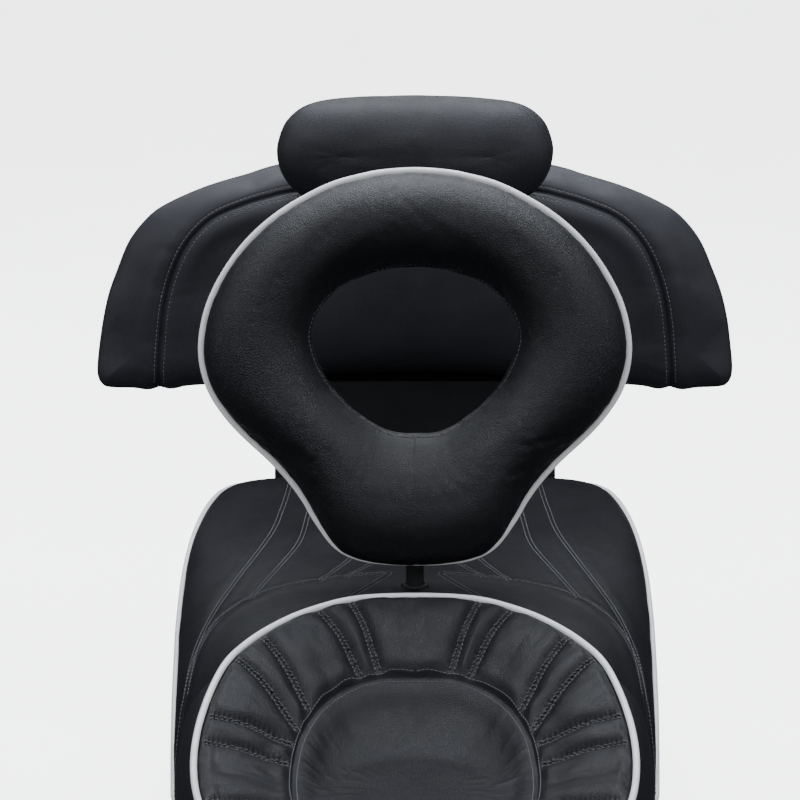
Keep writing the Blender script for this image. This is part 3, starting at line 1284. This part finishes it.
def build_head_bolster():
    columns, rows = 260, 90
    outline, slit = cushion_columns(HEAD_OUTLINE, [(90, 532), (119.5, 490), (82, 445)],
                                    columns, reach=62, centre_z=489)
    phi = np.linspace(0, 0.5 * math.pi, 120)
    power = 2.3  # squareness of the section
    across = np.sin(phi)**(2 / power)
    y = 374 - 31.0 * np.cos(phi)**(2 / power)
    half = np.zeros((rows, columns, 3))
    for j in range(columns):
        length = np.linalg.norm(outline[j] - slit[j])
        front = np.stack([across * length, y], -1)[::4]
        rear = np.array([[length - 0.2, 379], [length - 1.6, 385], [length - 5.0, 389.6],
                         [length - 9.0, 391.4], [length - 14, 391.8]])
        section = resample(catmull(np.vstack([front, rear]), 6), rows)
        outward = (outline[j] - slit[j]) / length
        half[:, j, 0] = slit[j, 0] + outward[0] * section[:, 0]
        half[:, j, 1] = section[:, 1]
        half[:, j, 2] = slit[j, 1] + outward[1] * section[:, 0]
    half[:, 0, 0] = half[:, -1, 0] = 0
    head = mirror_join(half)
    normals, flip = outward_normals(head, 20, 30, (0, -1, 0))
    pin = np.zeros(head.shape[:2])
    pin[-6:] = 1
    move = cloth_move(head, pin, thin=3, flip=flip, soften=2, heal=8, pressure=1.8,
                      shrink=-0.004, frames=16, cap=2.6, tension=10.0, bending=1.0)
    waves = value_noise(head[..., 0] / 24 + 4, head[..., 2] / 20 + 8, 41) * 0.5
    groove = 1.3 * bell(head[..., 1], 1.3, 379)
    head = head + move + normals * (waves - groove)[..., None]
    ob = cushion_object("Head_Bolster_Leather", head, flip)
    finish_piece(ob, "saddle", "black_leather", HEAD_LEATHER, "headrest_cover", "headrest_foam")


def build_plunger_spring():
    """Coil along Y, which shortens as the plunger is pulled."""
    radius, wire, length, pitch = 3.75, 0.45, 13.8, 2.7
    start_y, axis_z = 16.4, 80
    t = np.linspace(0, 1, 240)
    angle = t * TURN * length / pitch
    coil = np.stack([radius * np.cos(angle), start_y + length * t,
                     axis_z + radius * np.sin(angle)], -1)
    ob = tube("Plunger_Spring_Coil", coil, wire, sides=8)
    finish_piece(ob, "saddle", "spring_steel", SPRING_WIRE, "plunger_spring")
    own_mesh(ob)


# ---------------------------------------------------------------- room, light and camera
def build_cyclorama():
    """Round paper floor that bends up into a wall."""
    flat, bend, wall_top, sides = 7000.0, 3000.0, 9000.0, 96
    floor_z = min(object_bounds()[0][2], 0.0) / MM - 0.5
    profile = [(1.0, 0.0), (1500.0, 0.0), (4000.0, 0.0), (flat, 0.0)]
    profile += [(flat + bend * math.sin(a), bend - bend * math.cos(a))
                for a in np.linspace(0.1, math.pi / 2, 14)]
    profile += [(flat + bend, wall_top)]
    angles = [TURN * k / sides for k in range(sides)]
    verts = [(r * math.cos(a), r * math.sin(a), z + floor_z) for r, z in profile for a in angles]
    faces = []
    for low in range(0, (len(profile) - 1) * sides, sides):
        for k in range(sides):
            m = (k + 1) % sides
            faces.append([low + k, low + sides + k, low + sides + m, low + m])
    ob = mesh_object("Cyclorama", verts, faces)
    sh = Shader("Paper")
    paper = sh.ramp(sh.noise(3.0, detail=4.0), (0.3, (0.80, 0.81, 0.82, 1)),
                    (0.7, (0.83, 0.84, 0.85, 1)))
    ob.data.materials.append(sh.finish({
        "Base Color": paper, "Emission Color": paper, "Emission Strength": 4.7,
        "Roughness": 0.9, "Specular IOR Level": 0.0}))
    # it must not light the seat or show in reflections
    ob.visible_diffuse = False
    ob.visible_glossy = False


def aim(ob, location, target):
    ob.location = location
    ob.rotation_euler = (Vector(target) - Vector(location)).to_track_quat("-Z", "Y").to_euler()


def area_light(name, location, target, size, power):
    data = bpy.data.lights.new(name, "AREA")
    data.shape = "RECTANGLE"
    data.size, data.size_y = size
    data.energy = power
    data.color = (0.90, 0.94, 1.0)
    ob = bpy.data.objects.new(name, data)
    aim(ob, location, target)
    bpy.context.scene.collection.objects.link(ob)
    ob.visible_camera = False
    return ob


def build_lights():
    world = bpy.data.worlds.new("Room")
    bpy.context.scene.world = world
    world.use_nodes = True
    background = world.node_tree.nodes["Background"]
    background.inputs["Color"].default_value = (0.86, 0.9, 1.0, 1)
    background.inputs["Strength"].default_value = 0.07
    # name, location, target and size in metres, power in watts
    lamps = [
        ("Overhead", (0, 0.35, 2.6), (0, 0.1, 0.2), (2.6, 1.6), 96),
        ("Rear_Top", (0, 2.4, 2.2), (0, 0.0, 0.35), (2.6, 0.8), 26),
        ("Left_Strip", (-2.4, -0.7, 1.5), (0, 0, 0.25), (0.6, 1.8), 16),
        ("Right_Strip", (2.4, -0.7, 1.5), (0, 0, 0.25), (0.6, 1.8), 16),
        ("Front_Fill", (0, -3.4, 2.3), (0, 0, 0.3), (2.6, 1.2), 50)]
    [area_light(*lamp) for lamp in lamps]


def build_camera():
    """Long lens in front of the seat, looking slightly down; places in metres."""
    distance, elevation, target_z = 2.4, math.radians(12), 0.348
    data = bpy.data.cameras.new("Camera")
    data.lens = 141.2
    data.sensor_width = 36
    data.shift_x = -0.01875
    data.clip_end = 40
    ob = bpy.data.objects.new("Camera", data)
    location = (0, -distance * math.cos(elevation), target_z + distance * math.sin(elevation))
    aim(ob, location, (0, 0, target_z))
    bpy.context.scene.collection.objects.link(ob)
    bpy.context.scene.camera = ob


build_backrest_ring()
build_backrest_welt()
half_cover = half_cover_grid()
cover_tree = build_cover(half_cover)
saddle_thread = Stitches()
sew_cover(saddle_thread, cover_tree)
build_bucket(saddle_thread)
finish_piece(saddle_thread.make("Saddle_Thread"), "saddle", "black_leather", THREAD)
build_saddle_welts(half_cover)
build_passenger_back()
build_flap()
build_head_bolster()
build_plunger_spring()
build_cyclorama()
build_lights()
build_camera()
